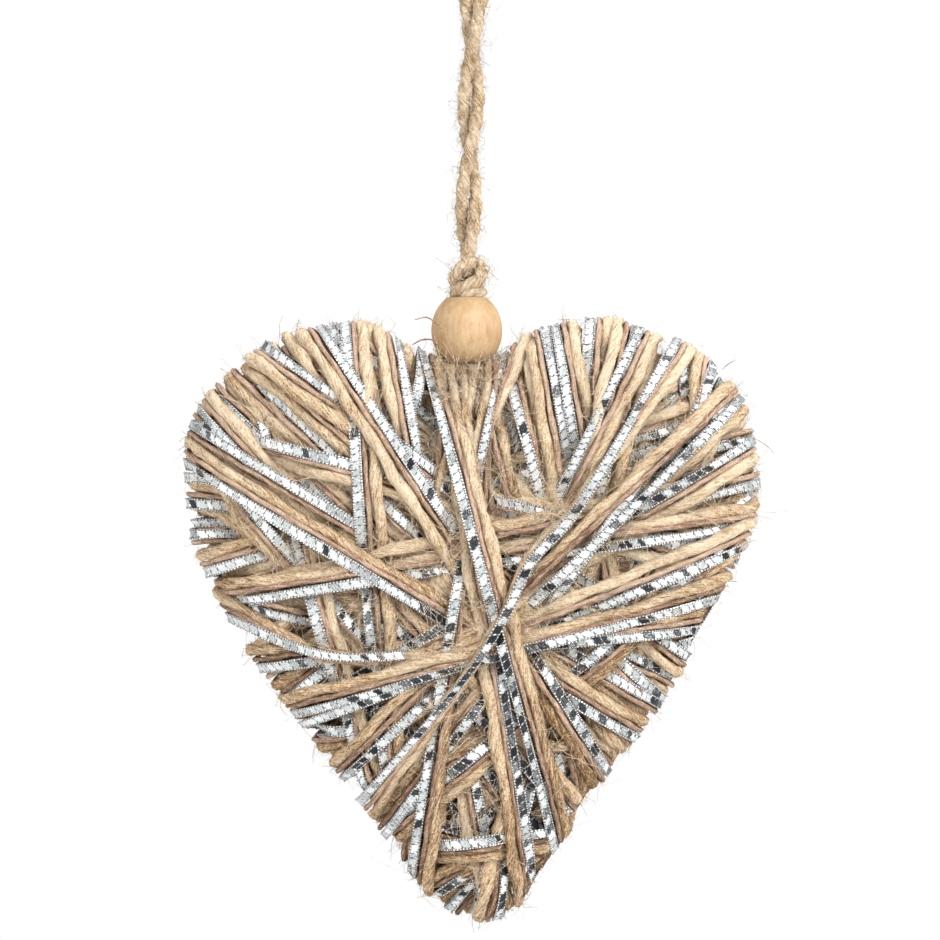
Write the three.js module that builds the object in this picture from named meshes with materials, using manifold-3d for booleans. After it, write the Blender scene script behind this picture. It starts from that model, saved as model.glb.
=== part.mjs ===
// A heart ornament wound from one bundle of three strands that lie side by side: thick jute yarn, a thin
// brown yarn and a flat silver ribbon. A wooden bead sits in the cleft of the heart. A doubled jute cord
// comes up out of the cleft through the bead, is knotted on top of it, and ends in a hanging loop.
// Millimetres. X runs to the right and Z up, seen from the front, and the front faces -Y.
// The origin is the top of the hanging loop.

import * as THREE from 'three';
import Module from 'manifold-3d';

const wasm = await Module();
wasm.setup();

// Heart: its outline is about its centre, 164.5 wide and 173 from lobe to tip
const HEART_CENTRE_Z = -186.4;
const OUTLINE = [
  [-1, 54], [4.5, 56], [11.5, 62], [18, 66], [28, 68.5], [39, 69.5], [50.5, 66], [62, 62],
  [71, 54.5], [78, 45.5], [81, 34], [82.5, 20], [80.5, 8.5], [75, -3], [66.5, -18.5], [59.5, -34],
  [40, -61.5], [25, -82], [18, -91], [13, -100], [4.5, -103.5], [-5.5, -101], [-13.5, -95],
  [-28.5, -75], [-46, -51.5], [-61, -31.5], [-71, -15], [-80.5, 5.5], [-82.5, 25.5], [-82, 34],
  [-79.5, 42], [-74, 49.5], [-66, 57], [-58, 63], [-49, 66], [-39, 68], [-29, 68], [-21.5, 64],
  [-12, 59.5], [-7, 56],
];
const EDGE_HALF = 12;       // half the thickness where the rounded edge ends
const EDGE_REACH = 17;      // how far the rounded edge reaches inwards
const DOME_RISE = 5;        // how much higher the middle stands than the edge
const DOME_REACH = 60;
const RIM_INSET = 1.6;      // from the outermost turns in to the packed winding below them

// The three strands: place in the bundle beside the ribbon, how many of the last turns show, how high the
// middle of the strand lies over the packed winding at the rim and on the face, and the corners of its
// section, across and upwards
const RIBBON = {
  place: 0,
  turns: 6,
  rimLift: 0.95,
  faceLift: 4.7,
  section: [[-1.65, -0.35], [1.65, -0.35], [1.65, 0.35], [-1.65, 0.35]],
};
const BROWN_YARN = {
  place: 3.2,
  turns: 4,
  rimLift: 1.25,
  faceLift: 3.1,
  section: [[-0.9, -0.65], [0.9, -0.65], [0, 0.65]],
};
const JUTE_YARN = {
  place: 6.2,
  turns: 7,
  rimLift: 0.8,
  faceLift: 0.8,
  section: [[-1.7, -1.3], [1.7, -1.3], [1, 1.2], [-1, 1.2]],
};
const LIFT_REACH = 7;       // depth inside the rim at which a strand has climbed to its lift on the face

// The uppermost turns of the front. Each has the two clock angles where it crosses the rim, 1 or -1 for
// the side of the ribbon on which the two yarns lie, and the places, if any, that it bends at
const TURNS = [
  { from: 143, to: 19, side: 1 },
  { from: 176, to: 347, side: -1 },
  { from: 164, to: 334, side: 1 },
  { from: 150, to: 327, side: -1 },
  { from: 130, to: 289, side: 1 },
  { from: 89, to: 226, side: 1 },
  { from: 43, to: 205, side: -1, bends: [[27, 12], [9.5, -15], [1, -29]] },
];

// Bead and the doubled cord
const BEAD = { x: -1.5, z: -121, radius: 10.1, halfHeight: 9.4, holeRadius: 4.6, flatRadius: 5.6 };
const CORD_DIAMETER = 3.6;
const KNOT_TOP_Z = -100.6;
const EYE_FOOT_Z = -28;     // where the two runs of the cord part into the eye
const EYE_HALF_WIDTH = 8;
const STRAND_SPACING = 4;   // between the middles of the cord's two runs
const HALF_TWIST = 29.4;    // height over which the two runs change places
const WAIST_Z = -70.2;      // where one run lies straight behind the other
const CORD_X = { knot: -1.3, eye: 0.3 };

const COLOURS = {
  jute: { color: 0xc6a06f, roughness: 0.95, metalness: 0 },
  brown: { color: 0x8b6a52, roughness: 0.95, metalness: 0 },
  silver: { color: 0xc9cdd0, roughness: 0.3, metalness: 0.9 },
  wood: { color: 0xdfb888, roughness: 0.5, metalness: 0 },
  cord: { color: 0xcda878, roughness: 0.95, metalness: 0 },
};

// The rim of the packed winding, as evenly spaced places that run clockwise from the cleft
const RIM_STEPS = 360;

function makeRim() {
  const corners = OUTLINE.map(([x, z]) => new THREE.Vector3(x, 0, z));
  const curve = new THREE.CatmullRomCurve3(corners, true, 'centripetal');
  const outer = curve.getSpacedPoints(RIM_STEPS).slice(0, RIM_STEPS);
  const outwards = outer.map((_, i) => {
    const next = outer[(i + 2) % RIM_STEPS];
    const last = outer[(i + RIM_STEPS - 2) % RIM_STEPS];
    return new THREE.Vector3(last.z - next.z, 0, next.x - last.x).normalize();
  });
  const places = outer.map((p, i) => p.clone().addScaledVector(outwards[i], -RIM_INSET));
  return { places, outwards, step: curve.getLength() / RIM_STEPS };
}

const RIM = makeRim();

function rimMix(list, u) {
  const low = Math.floor(u);
  const a = list[((low % RIM_STEPS) + RIM_STEPS) % RIM_STEPS];
  const b = list[(((low + 1) % RIM_STEPS) + RIM_STEPS) % RIM_STEPS];
  return a.clone().lerp(b, u - low);
}

function rimAtClock(degrees) {
  const wanted = THREE.MathUtils.degToRad(degrees);
  const miss = (p) => Math.abs(Math.sin((Math.atan2(p.x, p.z) - wanted) / 2));
  return RIM.places.reduce((best, p, i) => (miss(p) < miss(RIM.places[best]) ? i : best), 0);
}

function nearestRim(x, z) {
  let best = 0;
  let least = Infinity;
  for (let i = 0; i < RIM_STEPS; i += 1) {
    const p = RIM.places[i];
    const d = (p.x - x) ** 2 + (p.z - z) ** 2;
    if (d < least) {
      least = d;
      best = i;
    }
  }
  const p = RIM.places[best];
  const n = RIM.outwards[best];
  const inside = n.x * (p.x - x) + n.z * (p.z - z) > 0;
  return { depth: inside ? Math.sqrt(least) : 0, outwards: n };
}

// Half the thickness of the packed winding at a depth inside its rim: an elliptic edge, then a low dome
function halfThickness(depth) {
  const edge = 1 - Math.min(depth / EDGE_REACH, 1);
  const dome = 1 - Math.min(depth / DOME_REACH, 1);
  return EDGE_HALF * Math.sqrt(1 - edge * edge) + DOME_RISE * (1 - dome * dome);
}

// Where a chord of the winding is sampled: close together over the rounded edge, wider apart between
const EDGE_SAMPLES = [0, 1.4, 5, 11];
const FLAT_SAMPLE = 26;
const STEEPEST_SLANT = 0.35;

function sampleChord(startRim, endRim, bends) {
  const start = rimMix(RIM.places, startRim);
  const end = rimMix(RIM.places, endRim);
  const middle = bends.map(([x, z]) => new THREE.Vector3(x, 0, z));
  const curve = bends.length > 0
    ? new THREE.CatmullRomCurve3([start, ...middle, end], false, 'centripetal')
    : new THREE.LineCurve3(start, end);
  const length = curve.getLength();
  const slant = (t, u) => Math.max(
    STEEPEST_SLANT,
    Math.abs(curve.getTangentAt(t).dot(rimMix(RIM.outwards, u))),
  );
  const near = EDGE_SAMPLES.map((d) => d / slant(0, startRim));
  const far = EDGE_SAMPLES.map((d) => length - d / slant(1, endRim)).reverse();
  const between = far[0] - near.at(-1);
  const count = Math.max(1, Math.round(between / FLAT_SAMPLE));
  const flat = Array.from({ length: count - 1 }, (_, i) => near.at(-1) + (between * (i + 1)) / count);
  return [...near, ...flat, ...far].map((s) => curve.getPointAt(THREE.MathUtils.clamp(s / length, 0, 1)));
}

// One strand across a face, from one place on the rim to another, as middles with upward directions
const RIM_JOIN = 0.4;       // how far a front and a back chord run past each other where they meet

function layStrand(faceSign, strand, startRim, endRim, bends) {
  return sampleChord(startRim, endRim, bends).map((spot) => {
    const { depth, outwards } = nearestRim(spot.x, spot.z);
    const slope = Math.acos(1 - Math.min(depth / EDGE_REACH, 1));
    const lean = new THREE.Vector2(Math.cos(slope) / EDGE_REACH, Math.sin(slope) / EDGE_HALF).normalize();
    const up = new THREE.Vector3(outwards.x * lean.x, faceSign * lean.y, outwards.z * lean.x);
    const climb = THREE.MathUtils.smoothstep(depth, 0, LIFT_REACH);
    const lift = strand.rimLift + (strand.faceLift - strand.rimLift) * climb;
    const place = spot.clone().addScaledVector(up, lift);
    place.y += faceSign * (depth > 0 ? halfThickness(depth) : -RIM_JOIN);
    return { place, up };
  });
}

// A closed solid that carries a cross-section along a line of places, each with its own upward direction
function sweep(line, section) {
  const positions = [];
  line.forEach(({ place, up }, i) => {
    const before = line[Math.max(i - 1, 0)].place;
    const after = line[Math.min(i + 1, line.length - 1)].place;
    const ahead = after.clone().sub(before).normalize();
    const side = ahead.clone().cross(up).normalize();
    const above = side.clone().cross(ahead);
    for (const [across, upwards] of section) {
      positions.push(place.clone().addScaledVector(side, across).addScaledVector(above, upwards));
    }
  });
  const count = section.length;
  const triangles = [];
  for (let i = 0; i < line.length - 1; i += 1) {
    for (let k = 0; k < count; k += 1) {
      const a = i * count + k;
      const b = i * count + ((k + 1) % count);
      triangles.push([a, a + count, b], [b, a + count, b + count]);
    }
  }
  const last = (line.length - 1) * count;
  for (let k = 1; k < count - 1; k += 1) {
    triangles.push([0, k, k + 1], [last, last + k + 1, last + k]);
  }
  return toSolid(positions, triangles);
}

function toSolid(positions, triangles) {
  const volume = triangles.reduce((sum, [a, b, c]) => (
    sum + positions[a].dot(positions[b].clone().cross(positions[c]))
  ), 0);
  const facing = volume > 0 ? triangles : triangles.map(([a, b, c]) => [a, c, b]);
  const mesh = new wasm.Mesh({
    numProp: 3,
    vertProperties: new Float32Array(positions.flatMap((p) => p.toArray())),
    triVerts: new Uint32Array(facing.flat()),
  });
  return new wasm.Manifold(mesh);
}

function toGeometry(solid) {
  const mesh = solid.getMesh();
  const geometry = new THREE.BufferGeometry();
  geometry.setAttribute('position', new THREE.BufferAttribute(mesh.vertProperties, 3));
  geometry.setIndex(new THREE.BufferAttribute(mesh.triVerts, 1));
  return geometry;
}

function geometryToSolid(geometry) {
  const place = geometry.getAttribute('position');
  const positions = [];
  const keys = new Map();
  const index = geometry.index ? geometry.index.array : [...Array(place.count).keys()];
  const shared = [...index].map((i) => {
    const p = new THREE.Vector3().fromBufferAttribute(place, i);
    const key = p.toArray().map((v) => Math.round(v * 1e4)).join();
    if (!keys.has(key)) keys.set(key, positions.push(p) - 1);
    return keys.get(key);
  });
  const triangles = [];
  for (let i = 0; i < shared.length; i += 3) {
    const [a, b, c] = shared.slice(i, i + 3);
    if (a !== b && b !== c && a !== c) triangles.push([a, b, c]);
  }
  return toSolid(positions, triangles);
}

// The packed winding below the uppermost turns
const BODY_RINGS = [0, 0.02, 0.08, 0.19, 0.48];
const BODY_SIDES = 48;

function packedWinding() {
  const ring = Array.from({ length: BODY_SIDES }, (_, i) => rimMix(RIM.places, (i * RIM_STEPS) / BODY_SIDES));
  const positions = ring.map((p) => p.clone());
  const triangles = [];
  for (const sign of [-1, 1]) {
    let outer = 0;
    for (const inwards of BODY_RINGS.slice(1)) {
      const start = positions.length;
      ring.forEach((p) => {
        const place = p.clone().multiplyScalar(1 - inwards);
        place.y = sign * halfThickness(nearestRim(place.x, place.z).depth);
        positions.push(place);
      });
      for (let k = 0; k < BODY_SIDES; k += 1) {
        const next = (k + 1) % BODY_SIDES;
        const quad = [
          [outer + k, start + k, outer + next],
          [outer + next, start + k, start + next],
        ];
        triangles.push(...quad.map(([a, b, c]) => (sign < 0 ? [a, c, b] : [a, b, c])));
      }
      outer = start;
    }
    const middle = positions.push(new THREE.Vector3(0, sign * halfThickness(nearestRim(0, 0).depth), 0)) - 1;
    for (let k = 0; k < BODY_SIDES; k += 1) {
      const next = (k + 1) % BODY_SIDES;
      triangles.push(sign < 0 ? [outer + k, outer + next, middle] : [outer + k, middle, outer + next]);
    }
  }
  return toSolid(positions, triangles);
}

// The strands of a turn lie side by side, so each crosses the rim a little further along it
function rimPlaces(turn, strand) {
  const shift = (turn.side * strand.place) / RIM.step;
  return [rimAtClock(turn.from) - shift, rimAtClock(turn.to) + shift];
}

// A chord between the two lobes would leave the heart at the cleft, so it bends round below it
const BELOW_CLEFT = [[0, 30]];

function bendsAcross(startRim, endRim) {
  const [a, b] = [rimMix(RIM.places, startRim), rimMix(RIM.places, endRim)];
  const crossing = a.z + ((b.z - a.z) * a.x) / (a.x - b.x);
  return a.x * b.x < 0 && crossing > BELOW_CLEFT[0][1] ? BELOW_CLEFT : [];
}

// Winds all turns: each front chord goes on over the rim into a back chord, which leads to the next turn
function windStrand(strand) {
  const solids = [];
  const add = (faceSign, from, to, bends) => {
    solids.push(sweep(layStrand(faceSign, strand, from, to, bends), strand.section));
  };
  let last = null;
  for (const turn of TURNS.slice(-strand.turns)) {
    const [from, to] = rimPlaces(turn, strand);
    if (last !== null) add(1, last, from, bendsAcross(last, from));
    add(-1, from, to, turn.bends ?? []);
    last = to;
  }
  return solids;
}

// A turned wooden bead with a straight hole and a small flat round each end of it
function bead() {
  const { radius, halfHeight, holeRadius, flatRadius } = BEAD;
  const profile = [new THREE.Vector2(holeRadius, -halfHeight)];
  const flatAngle = Math.acos(flatRadius / radius);
  for (let i = 0; i <= 10; i += 1) {
    const angle = flatAngle * (i / 5 - 1);
    const height = (halfHeight * Math.sin(angle)) / Math.sin(flatAngle);
    profile.push(new THREE.Vector2(radius * Math.cos(angle), height));
  }
  profile.push(new THREE.Vector2(holeRadius, halfHeight), new THREE.Vector2(holeRadius, -halfHeight));
  return new THREE.LatheGeometry(profile, 22).rotateX(Math.PI / 2);
}

// A round tube along a smooth line
function tube(places, diameter, steps, sides) {
  const circle = new THREE.Shape();
  for (let i = 0; i < sides; i += 1) {
    const angle = (i / sides) * 2 * Math.PI;
    const [x, y] = [(diameter / 2) * Math.cos(angle), (diameter / 2) * Math.sin(angle)];
    if (i === 0) circle.moveTo(x, y);
    else circle.lineTo(x, y);
  }
  circle.closePath();
  const extrudePath = new THREE.CatmullRomCurve3(places, false, 'centripetal');
  return new THREE.ExtrudeGeometry(circle, { steps, extrudePath, curveSegments: 1 });
}

// The knot's two round turns, and below it the two runs that go down through the bead to the cleft
const KNOT = { turnRadius: 3.4, tilt: 0.4, spacing: 3.8, z: -106.8, strandRadius: 1.85 };
const TAIL_FOOT_Z = -131.9;
const TAIL_SPACING = 3.8;
const CORE_RADIUS = 2.4;    // fills the knot between its turns

function knotAndTail() {
  const parts = [1, -1].map((side) => {
    const turn = new THREE.TorusGeometry(KNOT.turnRadius, KNOT.strandRadius, 6, 14);
    turn.rotateY(side * KNOT.tilt);
    turn.translate(0, 0, (side * KNOT.spacing) / 2);
    return geometryToSolid(turn);
  });
  for (const side of [-1, 1]) {
    const height = KNOT_TOP_Z - TAIL_FOOT_Z;
    const run = new THREE.CylinderGeometry(CORD_DIAMETER / 2, CORD_DIAMETER / 2, height, 10);
    run.rotateX(Math.PI / 2);
    run.translate((side * TAIL_SPACING) / 2, 0, (KNOT_TOP_Z + TAIL_FOOT_Z) / 2 - KNOT.z);
    parts.push(geometryToSolid(run));
  }
  const core = new THREE.CylinderGeometry(CORE_RADIUS, CORE_RADIUS, KNOT_TOP_Z - TAIL_FOOT_Z - 2, 10);
  core.rotateX(Math.PI / 2);
  core.translate(0, 0, (KNOT_TOP_Z + TAIL_FOOT_Z) / 2 - KNOT.z);
  parts.push(geometryToSolid(core));
  return parts.reduce((a, b) => a.add(b));
}

// The free cord: up from the knot, round the eye and down again, its two runs turning round each other
const LOOP_RUN_STEPS = 8;
const LOOP_FOOT_Z = KNOT_TOP_Z + 0.75;
const LOOP_STEPS = 34;

function loopRun(side) {
  return Array.from({ length: LOOP_RUN_STEPS + 1 }, (_, i) => {
    const rise = i / LOOP_RUN_STEPS;
    const z = LOOP_FOOT_Z + (EYE_FOOT_Z - LOOP_FOOT_Z) * rise;
    const turn = Math.PI * ((z - WAIST_Z) / HALF_TWIST + 0.5);
    const reach = (side * STRAND_SPACING) / 2;
    const x = CORD_X.knot + (CORD_X.eye - CORD_X.knot) * rise + reach * Math.cos(turn);
    return new THREE.Vector3(x, reach * Math.sin(turn), z);
  });
}

function eyeOfLoop(turnedSide) {
  const wide = EYE_HALF_WIDTH * turnedSide;
  const top = -CORD_DIAMETER / 2;
  return [
    [-wide * 0.62, -20], [-wide, -11], [-wide * 0.74, -4.2], [0, top], [wide * 0.74, -4.2],
    [wide, -11], [wide * 0.62, -20],
  ].map(([x, z]) => new THREE.Vector3(CORD_X.eye + x, 0, z));
}

function hangingLoop() {
  const up = loopRun(-1);
  const down = loopRun(1).reverse();
  const side = Math.sign(CORD_X.eye - up.at(-1).x);
  return tube([...up, ...eyeOfLoop(side), ...down], CORD_DIAMETER, LOOP_STEPS, 8);
}

const ornament = new THREE.Group();

function addPiece(name, geometry, colour, x, z) {
  const piece = new THREE.Mesh(geometry, new THREE.MeshStandardMaterial(colour));
  piece.name = name;
  piece.position.set(x, 0, z);
  ornament.add(piece);
}

const unite = (solids) => solids.reduce((a, b) => a.add(b));
const juteSolid = unite([packedWinding(), ...windStrand(JUTE_YARN)]);

addPiece('jute_winding', toGeometry(juteSolid), COLOURS.jute, 0, HEART_CENTRE_Z);
addPiece('brown_yarn', toGeometry(unite(windStrand(BROWN_YARN))), COLOURS.brown, 0, HEART_CENTRE_Z);
addPiece('silver_ribbon', toGeometry(unite(windStrand(RIBBON))), COLOURS.silver, 0, HEART_CENTRE_Z);
addPiece('wooden_bead', bead(), COLOURS.wood, BEAD.x, BEAD.z);
addPiece('cord_knot', toGeometry(knotAndTail()), COLOURS.cord, BEAD.x, KNOT.z);
addPiece('hanging_loop', hangingLoop(), COLOURS.cord, 0, 0);

export default ornament;
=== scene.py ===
# %% [markdown]
# # A heart ornament wound from jute, brown yarn and silver ribbon
# The real ornament is a heart-shaped core with three strands wound round and round it side by side: a thick
# jute yarn, a thin brown yarn and a flat silver ribbon. A wooden bead sits in the cleft, and a doubled jute
# cord comes up through it, is knotted on top, and holds the heart.
# Most of its looks are in the order of the winding: which turn lies on which. So the strands aren't painted
# on. They are wound in code, one turn after another, and each one climbs over whatever already lies there.

# %% Open the frame
import math
from dataclasses import dataclass, field

import bpy
import numpy as np
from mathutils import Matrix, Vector


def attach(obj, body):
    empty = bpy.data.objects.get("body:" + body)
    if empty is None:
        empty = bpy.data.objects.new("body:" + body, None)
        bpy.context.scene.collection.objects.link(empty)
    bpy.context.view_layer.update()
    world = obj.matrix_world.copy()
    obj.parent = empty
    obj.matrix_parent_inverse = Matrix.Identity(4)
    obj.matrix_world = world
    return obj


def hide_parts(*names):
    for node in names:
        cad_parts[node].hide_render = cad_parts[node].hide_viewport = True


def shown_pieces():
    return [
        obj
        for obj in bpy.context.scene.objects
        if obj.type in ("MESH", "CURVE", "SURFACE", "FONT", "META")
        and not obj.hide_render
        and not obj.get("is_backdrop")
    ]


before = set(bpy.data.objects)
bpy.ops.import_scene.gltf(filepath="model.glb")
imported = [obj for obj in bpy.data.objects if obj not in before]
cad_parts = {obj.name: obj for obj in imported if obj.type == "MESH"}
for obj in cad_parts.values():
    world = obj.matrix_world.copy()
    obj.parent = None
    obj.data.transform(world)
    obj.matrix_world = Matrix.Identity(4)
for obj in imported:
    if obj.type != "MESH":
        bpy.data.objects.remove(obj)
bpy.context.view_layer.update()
MM = 0.001
random = np.random.default_rng(20)
print("frame nodes:", ", ".join(sorted(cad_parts)))

# %% [markdown]
# ## Camera
# The photograph was taken level and straight on, from far enough away that the heart's sides hardly
# narrow. A pixel of it is 0.285 mm at the heart, which the bead gave, so the picture is 268 mm wide there.
# A long lens at 1.4 m gives that width with next to no perspective.

# %% Camera
PIXEL_MM = 0.285
PICTURE_PIXELS = 940
VIEW_DISTANCE = 1.4
SENSOR_MM = 36

picture_width = PICTURE_PIXELS * PIXEL_MM * MM
camera_data = bpy.data.cameras.new("camera")
camera_data.sensor_width = SENSOR_MM
camera_data.lens = SENSOR_MM * VIEW_DISTANCE / picture_width
camera_data.clip_end = 20
camera = bpy.data.objects.new("camera", camera_data)
camera.location = (-0.57 * MM, -VIEW_DISTANCE, -160.74 * MM)
camera.rotation_euler = (math.radians(90), 0, 0)
bpy.context.scene.collection.objects.link(camera)
bpy.context.scene.camera = camera
print("lens", round(camera_data.lens, 1), "mm")

# %% [markdown]
# ## Lines in space
# Everything here is a strand that follows a line, so three small tools come first. One draws a smooth
# line through a few points, one spaces points evenly along it, and one carries a direction along a line
# without twisting, which gives each point of a cord its own sideways and upward directions.

# %% Smooth lines, even spacing and directions
def smooth_line(points, per_span=24, closed=False):
    """Centripetal Catmull-Rom line through the points."""
    p = np.asarray(points, float)
    p = np.vstack([p[-1:], p, p[:2]]) if closed else np.vstack([2 * p[0] - p[1], p, 2 * p[-1] - p[-2]])
    parts = []
    share = np.linspace(0, 1, per_span, endpoint=False)[:, None]
    for a, b, c, d in zip(p, p[1:], p[2:], p[3:]):
        t1 = np.linalg.norm(b - a) ** 0.5
        t2 = t1 + np.linalg.norm(c - b) ** 0.5
        t3 = t2 + np.linalg.norm(d - c) ** 0.5
        t = t1 + (t2 - t1) * share
        ab = ((t1 - t) * a + t * b) / t1
        bc = ((t2 - t) * b + (t - t1) * c) / (t2 - t1)
        cd = ((t3 - t) * c + (t - t2) * d) / (t3 - t2)
        abc = ((t2 - t) * ab + t * bc) / t2
        bcd = ((t3 - t) * bc + (t - t1) * cd) / (t3 - t1)
        parts.append(((t2 - t) * abc + (t - t1) * bcd) / (t2 - t1))
    parts.append(p[-2:-1])
    return np.vstack(parts)


def distance_along(line):
    return np.concatenate([[0], np.linalg.norm(np.diff(line, axis=0), axis=1).cumsum()])


def read_off(where, gone, values):
    """The columns of values, which are known at the distances gone, read off at others."""
    return np.stack([np.interp(where, gone, column) for column in values.T], 1)


def at_distance(line, distance):
    return read_off(distance, distance_along(line), line)


def evenly(line, count):
    return at_distance(line, np.linspace(0, distance_along(line)[-1], count))


def unit(v):
    return v / np.maximum(np.linalg.norm(v, axis=-1, keepdims=True), 1e-9)


def directions(line):
    return unit(np.gradient(line, axis=0))


FIRST_UP = np.array([0.13, -1.0, 0.21])     # no cord here runs along this direction


def carried_frame(line, up=FIRST_UP):
    """Sideways and upward directions that follow the line with no twist of their own."""
    ahead = directions(line)
    ups = []
    for a in ahead:
        up = up - a * (up @ a)
        up = up / np.linalg.norm(up)
        ups.append(up)
    ups = np.array(ups)
    return np.cross(ahead, ups), ups


# %% [markdown]
# ## Meshes from rings
# A strand's skin is a row of rings joined by quads, with a lid on each end so that it is closed. Strands
# that dive below others are never seen there, so a strand may also be made as several stretches: keep
# says which rings are used. All stretches of a kind go into one mesh, which stays quick to render.
# The mesh also stores two helpers for its finish: fibre, a place measured along the strand and round it,
# and shade, a number that makes one stretch lighter or darker than the next. On the yarns, the ribbon and
# the core it also holds painted light and shade.

# %% Ring meshes
def triangles_of(thing):
    return int(sum(len(p.vertices) - 2 for p in thing.data.polygons))


def mesh_object(name, places, loops, sizes, material, helpers, smooth=True):
    """A mesh from places in millimetres, corner indices and the number of corners of each face."""
    mesh = bpy.data.meshes.new(name)
    mesh.vertices.add(len(places))
    mesh.vertices.foreach_set("co", (np.asarray(places) * MM).ravel())
    mesh.loops.add(len(loops))
    mesh.loops.foreach_set("vertex_index", np.asarray(loops, np.int32))
    mesh.polygons.add(len(sizes))
    mesh.polygons.foreach_set("loop_start", np.concatenate([[0], np.cumsum(sizes)[:-1]]).astype(np.int32))
    mesh.polygons.foreach_set("use_smooth", np.full(len(sizes), smooth))
    for title, values in helpers.items():
        kind, key = ("FLOAT_VECTOR", "vector") if values.ndim == 2 else ("FLOAT", "value")
        layer = mesh.attributes.new(title, kind, "POINT")
        layer.data.foreach_set(key, values.astype(np.float32).ravel())
    mesh.update(calc_edges=True)
    mesh.validate()
    made = bpy.data.objects.new(name, mesh)
    bpy.context.scene.collection.objects.link(made)
    mesh.materials.append(material)
    print(name, triangles_of(made), "triangles")
    return made


def belongs(piece, slot, *nodes):
    """Fixes a piece to the heart and hides the solids that it is shown in place of. The slot is not used."""
    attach(piece, "root")
    if nodes:
        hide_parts(*nodes)


def corner_angles(sides):
    return np.arange(sides) / sides * 2 * math.pi


def round_rings(middle, side, up, radius, sides):
    """A ring of corners round each middle. The radius is one number a ring, or one for each corner."""
    k = corner_angles(sides)
    return (
        middle[..., None, :]
        + side[..., None, :] * (np.cos(k) * radius)[..., None]
        + up[..., None, :] * (np.sin(k) * radius)[..., None]
    )


def joined(sets):
    """Several sets of arrays, such as places and directions, joined into one set."""
    return [np.concatenate(arrays) for arrays in zip(*sets)]


def ring_faces(keep, sides):
    """Corner indices and face sizes for rings that are joined wherever two neighbours are kept."""
    link = np.concatenate([[False], keep[:-1] & keep[1:], [False]])
    walled = np.flatnonzero(link[1:-1])[:, None] * sides
    first = np.flatnonzero(~link[:-1] & link[1:])[:, None] * sides
    last = np.flatnonzero(link[:-1] & ~link[1:])[:, None] * sides
    k = np.arange(sides)
    a, b = walled + k, walled + (k + 1) % sides
    walls = np.stack([a, b, b + sides, a + sides], 2)
    loops = np.concatenate([walls.ravel(), (first + k[::-1]).ravel(), (last + k).ravel()])
    return loops, np.repeat([4, sides], [len(walled) * sides, len(first) + len(last)])


def used_only(places, loops, attributes):
    used, fresh = np.unique(loops, return_inverse=True)
    return places[used], fresh, {title: values[used] for title, values in attributes.items()}


# %% [markdown]
# ## Shader maths
# A finish is worked out from formulas, and formulas read best as formulas. So one small class wraps a
# node's output and lets Python's own signs add the Math nodes, and one method makes any other node.

# %% Formulas for finishes
class Wire:
    """A node's output. Arithmetic on it adds Math nodes to the same finish."""

    def __init__(self, finish, socket):
        self.finish = finish
        self.socket = socket

    def math(self, operation, *values):
        return self.finish.node("Math", {"operation": operation}, dict(enumerate((self, *values))))

    def __add__(self, other):
        return self.math("ADD", other)

    def __sub__(self, other):
        return self.math("SUBTRACT", other)

    def __rsub__(self, other):
        return self.finish.node("Math", {"operation": "SUBTRACT"}, {0: other, 1: self})

    def __mul__(self, other):
        return self.math("MULTIPLY", other)

    def __pow__(self, other):
        return self.math("POWER", other)

    def __abs__(self):
        return self.math("ABSOLUTE")

    __radd__ = __add__
    __rmul__ = __mul__

    def between(self, low, high):
        """0 below low, 1 above high, and a smooth rise from one to the other."""
        settings = {"interpolation_type": "SMOOTHSTEP"}
        return self.finish.node("MapRange", settings, {0: self, 1: low, 2: high})


class Finish:
    """A material whose nodes are made by one method."""

    def __init__(self, name):
        self.material = bpy.data.materials.new(name)
        self.material.use_nodes = True
        self.tree = self.material.node_tree
        self.tree.nodes.clear()

    def node(self, kind, settings=None, inputs=None, output=0):
        made = self.tree.nodes.new("ShaderNode" + kind)
        for key, value in (settings or {}).items():
            if key == "stops":
                self.set_stops(made.color_ramp.elements, value)
            else:
                setattr(made, key, value)
        for key, value in (inputs or {}).items():
            self.feed(made.inputs[key], value)
        return Wire(self, made.outputs[output]) if made.outputs else None

    def set_stops(self, elements, stops):
        while len(elements) < len(stops):
            elements.new(1)
        for element, (place, colour) in zip(elements, stops):
            element.position = place
            element.color = (*colour, 1)

    def feed(self, socket, value):
        if isinstance(value, Wire):
            self.tree.links.new(value.socket, socket)
        elif socket.type == "RGBA":
            socket.default_value = (*value, 1)
        else:
            socket.default_value = value

    def attribute(self, title, output="Fac"):
        return self.node("Attribute", {"attribute_name": title}, output=output)

    def noise(self, place, along_axes, scale, detail=3, roughness=0.6):
        """Noise, stretched by letting the place change less along some axes than along others."""
        stretched = self.node("VectorMath", {"operation": "MULTIPLY"}, {0: place, 1: along_axes})
        inputs = {"Vector": stretched, "Scale": scale, "Detail": detail, "Roughness": roughness}
        return self.node("TexNoise", {}, inputs)

    def mix(self, amount, low, high):
        return self.node("Mix", {"data_type": "RGBA"}, {0: amount, 6: low, 7: high}, output=2)

    def ramp(self, value, *stops):
        return self.node("ValToRGB", {"stops": stops}, {0: value})

    def surface(self, bump, bump_depth, **sockets):
        """The Principled shader, with a bump of that depth in millimetres."""
        inputs = {title.replace("_", " "): value for title, value in sockets.items()}
        inputs["Normal"] = self.node("Bump", {}, {"Strength": 1, "Distance": bump_depth * MM, "Height": bump})
        shader = self.node("BsdfPrincipled", {}, inputs)
        self.node("OutputMaterial", {}, {"Surface": shader})
        return self.material
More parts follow.
